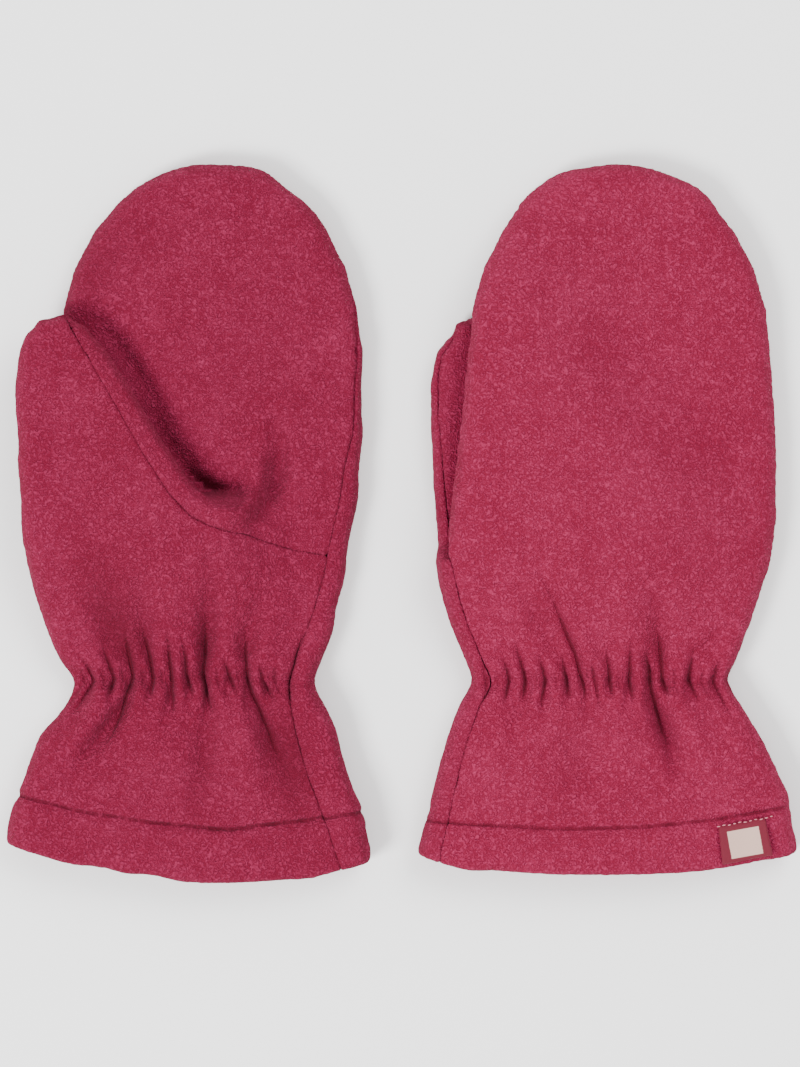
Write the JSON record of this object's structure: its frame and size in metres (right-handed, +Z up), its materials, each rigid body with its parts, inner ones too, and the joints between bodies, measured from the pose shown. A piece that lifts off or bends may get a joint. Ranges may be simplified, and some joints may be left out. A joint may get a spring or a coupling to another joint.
{
  "type": "pair of fleece mittens",
  "caption": "Pair of child's soft fleece mittens laid flat, one palm up and one back up, with a folded thumb, a wrist gathered by elastic and a flared, hemmed cuff.",
  "frame": {"origin": "centre of the pair's footprint, on the surface that the mittens lie on", "axes": "+X across the pair from the left mitten to the right one, +Y from the cuffs to the fingertips, +Z up from the surface"},
  "size_m": [0.2072, 0.1906, 0.0214],
  "materials": {
    "fleece": "matt napped fleece",
    "label": "woven satin"
  },
  "bodies": {
    "root": {"left_back": "fleece", "left_palm_upper": "fleece", "left_palm_lower": "fleece", "right_back": "fleece", "right_palm_upper": "fleece", "right_palm_lower": "fleece", "right_label": "label"}
  },
  "joints": []
}
